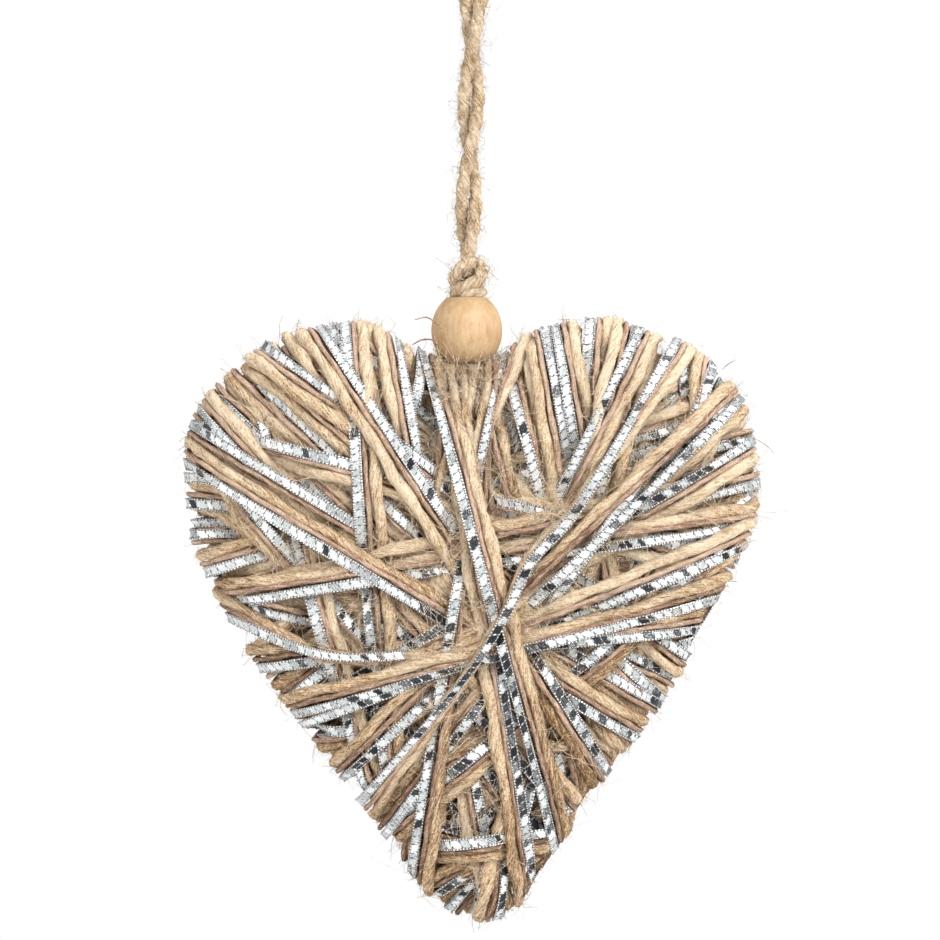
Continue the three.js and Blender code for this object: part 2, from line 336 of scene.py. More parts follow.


# %% [markdown]
# ## Yarn finish
# Jute is a bundle of pale, stiff fibres, lightly twisted. Close up each strand is streaked along its
# length, lighter on the fibres that stand out and darker in the grooves between them: partly the fibres'
# own colour, and partly painted shade in the grooves, since the same noise is the bump. The streaks are
# noise that is stretched along the strand: the fibre helper turns slowly round the strand, so they do too.
# A slower noise and the shade helper make one stretch golden and the next pale or brown. On the winding
# the shade helper also paints light: the yarn is lighter towards the top of the heart and darker towards
# its bottom.

# %% Jute, brown yarn and cord finishes
CURLS = [((0.45, 1, 1), 1.0), ((0.8, 1.2, 0.7), 1.6), ((0.3, 1.5, 1.1), 1.4)]   # stretch and scale


def yarn_finish(name, deep, body, pale):
    finish = Finish(name)
    fibre = finish.attribute("fibre", "Vector")
    streaks = finish.noise(fibre, (0.08, 1, 1), 2.4, 3, 0.7)
    hairs = finish.noise(fibre, (0.1, 1, 1), 5.5, 2, 0.7)
    patches = finish.noise(fibre, (0.05, 0.15, 0.15), 1, 2, 0.5)
    bends = [finish.noise(fibre, stretch, scale, 2, 0.5) - 0.5 for stretch, scale in CURLS]
    curls = [1 - abs(bend).between(0.005, 0.03) for bend in bends]
    curl = curls[0].math("MAXIMUM", curls[1]).math("MAXIMUM", curls[2])
    # The fibre relief is also the bump, so in the colour it is partly the fibres' own streaks and partly
    # painted shade in the grooves between them.
    strands = (streaks - 0.5) * 2.1 + (hairs - 0.5) * 1.7 + curl * 0.42
    tone = strands + (patches - 0.5) * 0.8 + (finish.attribute("shade") - 0.5) * 0.5 + 0.47
    colour = finish.ramp(tone, (0.0, deep), (0.45, body), (0.95, pale))
    return finish.surface(strands, 0.3, Base_Color=colour, Roughness=0.9, Specular_IOR_Level=0.2)


jute_finish = yarn_finish("jute", (0.21, 0.115, 0.05), (0.72, 0.475, 0.26), (0.99, 0.84, 0.62))
cord_finish = yarn_finish("jute_cord", (0.28, 0.17, 0.08), (0.68, 0.475, 0.28), (0.97, 0.82, 0.61))
brown_finish = yarn_finish("brown_yarn", (0.17, 0.085, 0.05), (0.47, 0.285, 0.185), (0.82, 0.60, 0.44))

# %% [markdown]
# ## Hanging cord
# The cord comes out of the knot as two runs that turn loosely round each other and meet in an eye. It is
# a two-ply cord: two thin strands twisted together. So it is modelled as its centreline first, and two
# plies are then led round that line like the stripes of a barber's pole.
# The route repeats the model's own, because the cord has to lie where its solid is.

# %% The cord's route
CORD_DIAMETER = 3.6
LOOP_FOOT_Z = -99.85
EYE_FOOT_Z = -28
EYE_HALF_WIDTH = 8
STRAND_SPACING = 4
HALF_TWIST = 29.4
WAIST_Z = -70.2
CORD_X_AT_KNOT = -1.3
CORD_X_AT_EYE = 0.3
LOOP_RUN_STEPS = 8


def loop_run(side):
    rise = np.linspace(0, 1, LOOP_RUN_STEPS + 1)
    z = LOOP_FOOT_Z + (EYE_FOOT_Z - LOOP_FOOT_Z) * rise
    turn = math.pi * ((z - WAIST_Z) / HALF_TWIST + 0.5)
    reach = side * STRAND_SPACING / 2
    x = CORD_X_AT_KNOT + (CORD_X_AT_EYE - CORD_X_AT_KNOT) * rise + reach * np.cos(turn)
    return np.stack([x, reach * np.sin(turn), z], 1)


def eye_of_loop(turned_side):
    wide = EYE_HALF_WIDTH * turned_side
    top = -CORD_DIAMETER / 2
    corners = [
        (-wide * 0.62, -20), (-wide, -11), (-wide * 0.74, -4.2), (0, top), (wide * 0.74, -4.2),
        (wide, -11), (wide * 0.62, -20),
    ]
    return np.array([(CORD_X_AT_EYE + x, 0, z) for x, z in corners])


run_up = loop_run(-1)
run_down = loop_run(1)[::-1]
eye = eye_of_loop(np.sign(CORD_X_AT_EYE - run_up[-1][0]))
cord_route = smooth_line(np.vstack([run_up, eye, run_down]), 10)
cord_length = distance_along(cord_route)[-1]
print("cord", round(cord_length, 1), "mm long")


# %% Two plies round a line
LAY_LENGTH = 13             # one full turn of the two plies
PLY_RADIUS = 0.4            # this and the next as shares of the cord's diameter
PLY_REACH = 0.15            # from the cord's middle to a ply's


def plied(line, strand_diameter, lay_length, sides, spacing):
    """Rings of the two plies of a twisted cord: places, kept rings and the fibre helper."""
    count = int(distance_along(line)[-1] / spacing)
    line = evenly(line, count)
    gone = distance_along(line)
    side, up = carried_frame(line)
    k = corner_angles(sides)
    plies = []
    for ply in range(2):
        angle = 2 * math.pi * (ply / 2 + gone / lay_length)
        wander = 1 + 0.08 * np.sin(gone * 0.9 + ply * 2) + 0.05 * np.sin(gone * 2.3 + ply)
        out = side * np.cos(angle)[:, None] + up * np.sin(angle)[:, None]
        middle = line + out * (strand_diameter * PLY_REACH * wander)[:, None]
        uneven = 1 + 0.07 * np.sin(3 * k + gone[:, None] * 1.7)
        uneven = uneven + 0.05 * random.standard_normal((count, sides))
        ring = round_rings(middle, *carried_frame(middle), strand_diameter * PLY_RADIUS * uneven, sides)
        twist = k - gone[:, None] * 0.5
        along = np.repeat(gone[:, None], sides, 1)
        fibre = np.stack([along, np.cos(twist) * 1.2 + ply * 5, np.sin(twist) * 1.2], 2)
        # A last ring that isn't kept parts this ply from the next in the same mesh
        plies.append((
            np.vstack([ring.reshape(-1, 3), np.repeat(middle[-1:], sides, 0)]),
            np.arange(count + 1) < count,
            np.vstack([fibre.reshape(-1, 3), np.zeros((sides, 3))]),
        ))
    return joined(plies)


def cord_piece(name, lines, material, slot, node, strand_diameter, lay_length, sides=10, spacing=0.55):
    """One mesh from the plies of several lines."""
    places, keep, fibre = joined(plied(line, strand_diameter, lay_length, sides, spacing) for line in lines)
    shade = 0.45 + 0.25 * np.sin(fibre[:, 0] * 0.4)
    loops, sizes = ring_faces(keep, sides)
    places, loops, helpers = used_only(places, loops, {"fibre": fibre, "shade": shade})
    piece = mesh_object(name, places, loops, sizes, material, helpers)
    belongs(piece, slot, node)
    return piece


loop_piece = cord_piece(
    "hanging_loop", [cord_route], cord_finish, "cord", "hanging_loop", CORD_DIAMETER, LAY_LENGTH
)
[tuple(p) for p in evenly(cord_route, 120) * MM]

# %% [markdown]
# ## The heart's skin
# The winding makes a heart with a rounded edge and a low dome on each face. The outline is drawn from the
# photograph, in millimetres about the heart's centre. A place on the heart is given by its spot seen
# from the front and the face that it is on. Its depth inside the rim gives its height, and the direction
# straight out of the skin there.

# %% Outline, rim and skin
HEART_CENTRE = np.array([0, 0, -186.4])
OUTLINE = [
    (-1, 54), (4.5, 56), (11.5, 62), (18, 66), (28, 68.5), (39, 69.5), (50.5, 66), (62, 62),
    (71, 54.5), (78, 45.5), (81, 34), (82.5, 20), (80.5, 8.5), (75, -3), (66.5, -18.5), (59.5, -34),
    (40, -61.5), (25, -82), (18, -91), (13, -100), (4.5, -103.5), (-5.5, -101), (-13.5, -95),
    (-28.5, -75), (-46, -51.5), (-61, -31.5), (-71, -15), (-80.5, 5.5), (-82.5, 25.5), (-82, 34),
    (-79.5, 42), (-74, 49.5), (-66, 57), (-58, 63), (-49, 66), (-39, 68), (-29, 68), (-21.5, 64),
    (-12, 59.5), (-7, 56),
]
EDGE_HALF = 12.8
EDGE_REACH = 17
DOME_RISE = 6
DOME_REACH = 60
RIM_COUNT = 720
FRONT, BACK = -1, 1

rim = evenly(smooth_line(OUTLINE, closed=True), RIM_COUNT + 1)[:-1]
rim_step = distance_along(rim)[-1] / RIM_COUNT
rim_ahead = unit(np.roll(rim, -3, 0) - np.roll(rim, 3, 0))
rim_outwards = np.stack([-rim_ahead[:, 1], rim_ahead[:, 0]], 1)


def rim_mix(values, u):
    low = np.floor(u).astype(int)
    share = (u - low)[..., None]
    return values[low % RIM_COUNT] * (1 - share) + values[(low + 1) % RIM_COUNT] * share


def on_rim(u):
    return rim_mix(rim, np.array(u))


def rim_at_clock(degrees):
    miss = np.sin((np.arctan2(rim[:, 0], rim[:, 1]) - math.radians(degrees)) / 2)
    return float(np.abs(miss).argmin())


def depth_and_outwards(spots):
    """How far each spot is inside the rim, and which way is out at the nearest place of the rim."""
    away = ((spots[:, None] - rim[None]) ** 2).sum(2)
    nearest = away.argmin(1)
    depth = np.full(len(spots), 1e9)
    place = nearest.astype(float)
    for low in (nearest - 1, nearest):
        start = rim[low % RIM_COUNT]
        along = rim[(low + 1) % RIM_COUNT] - start
        share = np.clip(((spots - start) * along).sum(1) / (along**2).sum(1), 0, 1)
        gap = np.linalg.norm(spots - start - along * share[:, None], axis=1)
        place = np.where(gap < depth, low + share, place)
        depth = np.minimum(depth, gap)
    return depth, unit(rim_mix(rim_outwards, place))


def half_thickness(depth):
    edge = 1 - np.minimum(depth / EDGE_REACH, 1)
    dome = 1 - np.minimum(depth / DOME_REACH, 1)
    return EDGE_HALF * np.sqrt(1 - edge**2) + DOME_RISE * (1 - dome**2)


def skin(spots, face):
    """Places on the skin, directions out of it, and the spots of the skin laid flat."""
    depth, outwards = depth_and_outwards(spots)
    slope = np.arccos(1 - np.minimum(depth / EDGE_REACH, 1))
    lean = unit(np.stack([np.cos(slope) / EDGE_REACH, np.sin(slope) / EDGE_HALF], 1))
    up = np.stack([outwards[:, 0] * lean[:, 0], face * lean[:, 1], outwards[:, 1] * lean[:, 0]], 1)
    foot = np.stack([spots[:, 0], face * half_thickness(depth), spots[:, 1]], 1)
    return foot, up, spots + outwards * np.interp(depth, EDGE_DEPTHS, EDGE_SPREAD)[:, None]


# The rounded edge is longer than it looks from the front, by this much at each depth
EDGE_DEPTHS = np.linspace(0, EDGE_REACH, 400) ** 2 / EDGE_REACH
edge_line = np.stack([EDGE_DEPTHS, half_thickness(EDGE_DEPTHS)], 1)
edge_length = distance_along(edge_line)
EDGE_SPREAD = edge_length[-1] - edge_length - (EDGE_REACH - EDGE_DEPTHS)
print("rim", round(rim_step * RIM_COUNT), "mm round, edge", round(edge_length[-1], 1), "mm over")

# %% [markdown]
# ## The turns of the winding
# These are the turns that show on the front, read off the photograph from the lowest to the uppermost.
# Each has the two clock angles at which its ribbon crosses the rim, and the side of the ribbon on which
# the two yarns lie. A few slack ones are held aside by others, and have the spots that they bend at.

# %% Turns
TURNS = [
    (277, 87, -1), (275, 86, 1), (267, 67, -1), (266, 95, 1), (260, 120, -1), (240, 73, 1), (234, 39, 1),
    (30, 184, 1), (26, 168, -1), (42, 141, 1), (52, 238, 1), (62, 261, 1),
    (44, 233, 1, [(62, 50), (48.5, 37)]), (44, 109, -1), (37, 172, -1, [(49.5, 60), (42.5, 34)]),
    (97, 243, 1), (332, 101, -1), (15, 137, 1), (284, 113, 1), (13, 138, 1), (2, 143, 1), (306, 119, -1),
    (4, 140, 1), (61, 267, 1), (281, 91, -1), (347, 204, -1, [(-15, 48.5), (-20, 33)]), (8, 147, -1),
    (17, 144, 1), (19, 143, -1), (224, 138, 1), (221, 122, 1), (176, 32, 1), (296, 139, -1), (329, 146, 1),
    (324, 145, 1), (192, 161, -1), (188, 75, 1), (187, 151, -1), (184, 115, 1), (179, 54, 1),
    (175, 36, -1), (331, 178, -1), (294, 163, 1), (204, 164, 1), (342, 175, 1), (36, 180, -1),
    (35, 176, 1), (359, 158, -1), (210, 99, 1), (196, 159, 1), (224, 132, 1), (197, 36, 1),
    (202, 109, -1), (58, 215, -1), (286, 87, -1), (293, 120, 1), (303, 147, -1), (312, 200, -1),
    (310, 137, 1), (314, 126, 1), (316, 114, 1), (296, 90, 1), (299, 158, -1), (296, 127, 1),
    (332, 196, -1), (82, 199, -1), (75, 259, 1), (67, 230, -1), (83, 260, 1),
    (51, 198, 1, [(62.5, 40), (50.5, 26)]), (59, 211, 1), (257, 107, -1, [(-42, -26.5), (-17.5, -26.5)]),
    (289, 137, -1), (226, 87, -1), (327, 147, 1), (8, 191, -1, [(4.5, 37), (1.5, 21.5)]), (355, 169, 1),
    (99, 229, 1), (347, 164, -1), (43, 205, -1, [(27, 12), (16.5, 0), (9.5, -15), (1, -29)]),
]
UNDER_TURNS = 80           # turns below those, of which only bits show through the gaps
BELOW_CLEFT = np.array([(0, 30)])
NO_BENDS = np.zeros((0, 2))
print(len(TURNS), "turns and", UNDER_TURNS, "below them")


# %% [markdown]
# One unbroken bundle makes all turns: after each front chord it runs over the rim, crosses the back, and
# comes over the rim again where the next front chord starts. A turn reads the same from either end, so
# it is started from whichever end gives the longer run across the back. The turns below them are drawn
# at random, with a fixed seed. A chord between the two lobes would cross the cleft, so it bends below it.

# %% One unbroken winding
def under_turns():
    turns = []
    for k in range(UNDER_TURNS):
        start = (k * 137.5 + random.uniform(-8, 8)) % 360
        turns.append((start, (start + 180 + random.uniform(-55, 55)) % 360, random.choice([-1, 1])))
    # Steep turns that come over the rim in the cleft, under the bead
    for k, start in enumerate((350, 353, 355.5, 358, 0.5, 3, 6, 9)):
        turns.append((start, 180 + (k * 37) % 50 - 25, (-1) ** k))
    return turns


def one_winding(turns):
    """Turns in order, each started from the end that is further from where the last one ended."""
    ordered = []
    last = None
    for start, end, side, *bends in turns:
        bends = np.array(bends[0], float) if bends else NO_BENDS
        start, end = rim_at_clock(start), rim_at_clock(end)
        if last is not None:
            reach = [np.linalg.norm(on_rim(u) - last) for u in (start, end)]
            if reach[1] > reach[0]:
                start, end, side, bends = end, start, -side, bends[::-1]
        last = on_rim(end)
        ordered.append((start, end, side, bends))
    return ordered


def bends_across(start, end):
    """Keeps a chord from one lobe to the other below the cleft."""
    a, b = on_rim(start), on_rim(end)
    if a[0] * b[0] >= 0:
        return NO_BENDS
    crossing = a[1] + (b[1] - a[1]) * a[0] / (a[0] - b[0])
    return BELOW_CLEFT if crossing > BELOW_CLEFT[0][1] else NO_BENDS


def rim_shift(u, other, distance):
    """How far along the rim a strand lies that is this far beside the chord from u to another spot."""
    square = abs(unit(other - on_rim(u)) @ rim_mix(rim_outwards, np.array(u)))
    return distance / max(square, 0.45) / rim_step


def strand_ends(turn, place):
    start, end, side, bends = turn
    near = bends[0] if len(bends) else on_rim(end)
    far = bends[-1] if len(bends) else on_rim(start)
    return start - rim_shift(start, near, side * place), end + rim_shift(end, far, side * place)


winding = one_winding(under_turns() + TURNS)
print(len(winding), "turns in one winding")

# %% [markdown]
# ## Laying the strands
# Wound loosely, many turns would pile up wherever they cross. On the real heart each turn presses the ones
# below it inwards, so the uppermost turns lie on the outline and the lower ones dive under them. So the
# winding is laid backwards, from the last turn to the first. A map of each face, laid flat, holds how far
# the turns laid so far reach inwards at every spot. The next strand passes below them there, and comes up
# to the skin wherever it is free. Yarn is stiff and taut, so its height only changes by a set slope. It is
# soft as well, so each strand takes up less room in the map than it is thick.

# %% The map of undersides
CELL = 0.6
MAP_LOW = np.array([-96.0, -118.0])
MAP_SIZE = (int(192 / CELL), int(204 / CELL))
CEILING = -0.35             # how high over the skin the squeezed strands may come
DEEPEST = (-9.5, -6.0)      # how deep the first and the last turn may be pressed among the others


@dataclass(eq=False)
class Strand:
    name: str
    place: float            # how far beside the bundle's edge it lies
    half_width: float
    squeezed: float         # how thick it is where others press on it
    slope: float            # how steeply it climbs over others
    chords: list = field(default_factory=list)


RIBBON = Strand("silver_ribbon", 0, 1.65, 0.35, 0.45)
BROWN = Strand("brown_yarn", 2.55, 0.75, 1.0, 0.45)
JUTE = Strand("jute_yarn", 4.9, 1.6, 1.9, 0.4)
undersides = {face: np.full(MAP_SIZE, CEILING) for face in (FRONT, BACK)}
tops = {face: np.full(MAP_SIZE, -99.0) for face in (FRONT, BACK)}


def cells(flat):
    index = np.round((flat - MAP_LOW) / CELL).astype(int)
    return np.clip(index[..., 0], 0, MAP_SIZE[0] - 1), np.clip(index[..., 1], 0, MAP_SIZE[1] - 1)


def slope_limited(lifts, gone, slope):
    """The highest line below the lifts that is nowhere steeper than the slope."""
    forwards = np.minimum.accumulate(lifts - slope * gone) + slope * gone
    backwards = np.minimum.accumulate((lifts + slope * gone)[::-1])[::-1] - slope * gone
    return np.minimum(forwards, backwards)


def softened(values, reach=2):
    weights = 1 - np.abs(np.arange(-reach, reach + 1)) / (reach + 1)
    padded = np.concatenate([np.repeat(values[:1], reach), values, np.repeat(values[-1:], reach)])
    return np.convolve(padded, weights / weights.sum(), "valid")


# %% Chords across a face
STEP = 1.7                  # between the rings of a strand


def chord_spots(start, end, bends):
    a, b = on_rim(start), on_rim(end)
    line = smooth_line([a, *bends, b]) if len(bends) else np.array([a, b])
    length = distance_along(line)[-1]
    line = at_distance(line, np.linspace(0, length, int(length / 0.5) + 2))
    # A little sideways drift, none at the two ends, keeps the chord from looking ruled
    share = np.linspace(0, 1, len(line))
    shift, swing, phase = random.normal(0, 0.45), random.normal(0, 0.35), random.uniform(0, 6)
    drift = shift + swing * np.sin(share * 2 * math.pi + phase)
    aside = np.stack([directions(line)[:, 1], -directions(line)[:, 0]], 1)
    return line + aside * (drift * np.sin(share * math.pi))[:, None]


def lay_chord(strand, face, start, end, bends, deepest):
    fine = chord_spots(start, end, bends)
    foot, _, _ = skin(fine, face)
    gone = distance_along(foot)
    count = max(int(gone[-1] / STEP), 4)
    gone_even = np.linspace(0, gone[-1], count)
    spots = read_off(gone_even, gone, fine)
    foot, up, flat = skin(spots, face)
    ahead = directions(flat)
    aside = np.stack([ahead[:, 1], -ahead[:, 0]], 1)
    across = np.linspace(-1, 1, 7) * strand.half_width * 0.85
    free = undersides[face][cells(flat[:, None] + aside[:, None] * across[:, None])].min(1)
    lifts = slope_limited(np.maximum(free - strand.squeezed / 2, deepest), gone_even, strand.slope)
    between = np.linspace(0, count - 1, count * 4)
    near = read_off(between, np.arange(count), flat)
    near_aside = read_off(between, np.arange(count), aside)
    middle = np.interp(between, np.arange(count), lifts)
    rounding = strand.squeezed / 2 * np.sqrt(1 - (across / strand.half_width) ** 2)
    hit = cells(near[:, None] + near_aside[:, None] * across[:, None])
    np.minimum.at(undersides[face], hit, middle[:, None] - rounding)
    np.maximum.at(tops[face], hit, middle[:, None] + rounding)
    strand.chords.append((face, foot, up, flat, lifts))


# In the lower turns the soft ribbon has slipped under its jute, and little of it shows
slipped = len(winding) - len(TURNS)
for strand in (RIBBON, BROWN, JUTE):
    strand.ends = [
        strand_ends(turn, JUTE.place - 0.6 if strand is RIBBON and k < slipped else strand.place)
        for k, turn in enumerate(winding)
    ]

for k in reversed(range(len(winding))):
    deepest = np.interp(k, [0, len(winding)], DEEPEST)
    for strand in (JUTE, BROWN, RIBBON) if k < slipped else (RIBBON, BROWN, JUTE):
        start, end = strand.ends[k]
        bends = winding[k][3]
        lay_chord(strand, FRONT, start, end, bends if len(bends) else bends_across(start, end), deepest)
        if k > 0:
            last_end = strand.ends[k - 1][1]
            lay_chord(strand, BACK, last_end, start, bends_across(last_end, start), deepest)

for face, title in ((FRONT, "front"), (BACK, "back")):
    print(title, "undersides down to", round(undersides[face].min(), 1), "mm")

# %% [markdown]
# ## Whole strands
# The chords of a strand are joined into one line that runs on over the rim. The height is evened out over
# the joints, and the stretches that lie out of sight below others are marked, so that they needn't be made.

# %% Joined strands and what stays in sight
CORE_DROP = 10.5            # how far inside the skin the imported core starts


def lowest_near(values, reach_mm):
    result = values.copy()
    reach = int(reach_mm / CELL)
    for axis in (0, 1):
        whole = result.copy()
        for k in range(-reach, reach + 1):
            result = np.minimum(result, np.roll(whole, k, axis))
    return result


cover = {face: lowest_near(values, 1.9) for face, values in tops.items()}


class Path:
    """A whole strand: middles, directions out of the skin, distance along it, and what can be seen."""

    def __init__(self, strand):
        feet, ups, lifts, seen = [], [], [], []
        for face, foot, up, flat, lift in strand.chords[::-1]:
            own_top = lift + strand.squeezed / 2
            seen.append((own_top > cover[face][cells(flat)] - 0.25) & (own_top > -CORE_DROP))
            lifts.append(lift)
            feet.append(foot)
            ups.append(up)
        feet, ups, lifts = np.vstack(feet), np.vstack(ups), np.concatenate(lifts)
        gone = distance_along(feet)
        lifts = softened(slope_limited(lifts, gone, strand.slope), 2)
        self.up = unit(ups)
        self.middle = feet + self.up * lifts[:, None]
        self.gone = distance_along(self.middle)
        self.seen = np.convolve(np.concatenate(seen), np.ones(3), "same") > 0
        self.lifts = lifts


paths = {strand.name: Path(strand) for strand in (RIBBON, BROWN, JUTE)}
for name, path in paths.items():
    print(name, round(path.gone[-1] / 1000, 1), "m,", round(path.seen.mean() * 100), "% in sight,",
          "lift", path.lifts.min().round(1), "to", path.lifts.max().round(1))

# %% [markdown]
# ## Yarn skins
# The yarns are round strands pressed a little flat. Each ring is slightly uneven, and the unevenness turns
# slowly round the strand as it goes, as it does in spun yarn.

# %% Jute and brown yarn
def slow_noise(gone, wavelength, seed):
    steps = np.random.default_rng(seed).standard_normal(int(gone[-1] / wavelength) + 3)
    return np.interp(gone / wavelength, np.arange(len(steps)), steps)


def yarn_rings(path, half_width, half_height, sides, sway_length, seed):
    """Rings of a yarn: places, kept rings, helpers for its finish, and outward directions."""
    def noise(wavelength, own_seed):
        return slow_noise(path.gone, wavelength, seed + own_seed)

    rng = np.random.default_rng(seed)
    count = len(path.gone)
    ahead = directions(path.middle)
    side = unit(np.cross(ahead, path.up))
    up = np.cross(side, ahead)
    k = corner_angles(sides)
    angle = 2 * math.pi * (path.gone / sway_length) + 0.5 * noise(14, 3)
    sway = side * (np.cos(angle) * (half_width - half_height))[:, None]
    middle = path.middle + sway * (1 + 0.2 * noise(8, 9))[:, None]
    size = half_height * (1.05 + 0.09 * noise(5, 14))
    spin = k + path.gone[:, None] * 0.18
    uneven = 1 + 0.10 * np.cos(2 * spin) + 0.08 * np.cos(3 * spin + 1)
    radius = size[:, None] * (uneven + 0.06 * rng.standard_normal((count, sides)))
    flattened = np.cos(k)[:, None] * (half_width / half_height)
    outwards = side[:, None] * flattened + up[:, None] * np.sin(k)[:, None]
    along = np.repeat(path.gone[:, None], sides, 1)
    fibre = np.stack([along, np.cos(spin) * half_height, np.sin(spin) * half_height], 2)
    # Random tone along the strand, plus painted light: the height term makes the yarn lighter towards the top
    # of the heart and darker towards its bottom.
    shade = 0.48 + 0.36 * path.middle[:, 2] / 60 + 0.26 * noise(60, 2) + 0.16 * noise(25, 20)
    helpers = {"fibre": fibre, "shade": np.repeat(shade[:, None], sides, 1)}
    keep = path.seen & (np.arange(count) < count - 1)
    return middle[:, None] + outwards * radius[..., None], keep, helpers, outwards


def build_rings(name, places, keep, helpers, material, slot, *nodes, parts=1, smooth=True):
    """A long strand as one mesh, or split into that many meshes of about the same size."""
    count, sides = places.shape[:2]
    share = np.cumsum(keep) / keep.sum()
    flat = {title: values.reshape(count * sides, -1).squeeze() for title, values in helpers.items()}
    for part in range(parts):
        chosen = keep & (share > part / parts) & (share <= (part + 1) / parts)
        loops, sizes = ring_faces(chosen, sides)
        where, loops, used = used_only(places.reshape(-1, 3) + HEART_CENTRE, loops, flat)
        title = f"{name}_{part + 1}" if parts > 1 else name
        belongs(mesh_object(title, where, loops, sizes, material, used, smooth), slot, *nodes)


jute_rings = yarn_rings(paths["jute_yarn"], 1.65, 1.35, sides=8, sway_length=26, seed=30)
brown_rings = yarn_rings(paths["brown_yarn"], 0.75, 0.65, sides=5, sway_length=13, seed=60)
build_rings("jute_yarn", *jute_rings[:3], jute_finish, "jute", "jute_winding", parts=2)
build_rings("brown_yarn", *brown_rings[:3], brown_finish, "brown_yarn", "brown_yarn")

# %% [markdown]
# ## Silver ribbon
# The ribbon is a narrow ladder: two twisted metallic edge threads, thin rungs, and a bright film in the
# cells between them. The film buckles, so each cell is a small mirror that faces its own way: one flashes
# white and the next is black, and that sparkle is the ribbon's whole character. So each cell is a real
# facet with a tilt of its own, and two rings a cell are enough for it. Each cell's colour is also a
# painted reflection, drawn pale or black, and the fine sparkle, the dark gaps round the cells and the
# stripes of the edge threads are painted light and shade as well.

# %% Ribbon finish
def ribbon_finish():
    finish = Finish("silver_ribbon")
    place = finish.attribute("fibre", "Vector")
    along, across, bare = [finish.node("SeparateXYZ", {}, {0: place}, output=k) for k in range(3)]
    crumple = finish.noise(place, (2.2, 1.1, 1), 1.6, 2, 0.6) - 0.5
    # 0 in the middle of a cell and 0.5 at the rung between two cells
    to_rung = 0.5 - (along + crumple * 0.4).math("PINGPONG", 0.5)
    # Below 1 within a cell, which has round corners, and above 1 on the threads round it
    in_cell = (to_rung * 2.35) ** 6 + (abs(across) * 1.36 + crumple * 0.2) ** 6
    film = 1 - in_cell.between(0.7, 1.1)
    # A thin ring round each cell, darkened below as painted shade in the gap between the film and the
    # threads.
    gap = in_cell.between(0.45, 0.8) * (1 - in_cell.between(1.0, 1.7))
    # Slanted stripes along the twisted edge threads: their relief in the bump, and painted highlights and
    # painted shade in the colour.
    twist = (along * 19 + across * 6 + crumple * 6).math("SINE").between(-0.5, 0.7)
    # Fine noise that is the film's crinkled bump, and that in the colour paints glints and dark specks:
    # painted reflections.
    painted_glint_and_crinkle = finish.noise(place, (2.8, 2.0, 1), 2.4, 3, 0.75)
    # The foil colour runs from black to white with each cell's painted reflection tone from the shade helper,
    # plus the painted glints.
    foil = finish.ramp(
        finish.attribute("shade") + (painted_glint_and_crinkle - 0.5) * 1.5 + 0.02,
        (0.0, (0.012, 0.012, 0.014)), (0.3, (0.05, 0.05, 0.055)), (0.42, (0.30, 0.32, 0.315)),
        (0.66, (0.61, 0.64, 0.63)), (1.0, (0.97, 0.98, 0.98)),
    )
    # The edge threads' painted highlights and painted shade, dark to white along the twist.
    threads = finish.mix(twist, (0.17, 0.175, 0.18), (0.97, 0.98, 0.98))
    colour = finish.mix(film, threads, foil)
    # Painted shade in the gaps round the cells, a little stronger towards the right of the heart.
    colour = finish.mix(gap * (bare * 0.3 + 0.7), colour, (0.07, 0.07, 0.075))
    bump = (1 - film) * (twist * 0.5 + 0.5) + painted_glint_and_crinkle * 0.7 * film
    return finish.surface(bump, 0.2, Base_Color=colour, Metallic=0.58, Roughness=0.45 - film * 0.14)


silver_finish = ribbon_finish()

# %% Ribbon rings
RIBBON_HALF_WIDTH = 1.42
CELL_LENGTH = 2.5
RUNG_LENGTH = 0.35
RUNG_SLANT = 0.8            # how far one end of a rung runs ahead of the other
# Across the ribbon, as a share of its half width, and upwards in millimetres
RIBBON_TOP = [(-1, 0), (-0.86, 0.3), (-0.62, 0.1), (0.62, 0.1), (0.86, 0.3), (1, 0)]
RIBBON_SECTION = RIBBON_TOP + [(0.6, -0.16), (-0.6, -0.16)]
FILM_CORNERS = (2, 3)


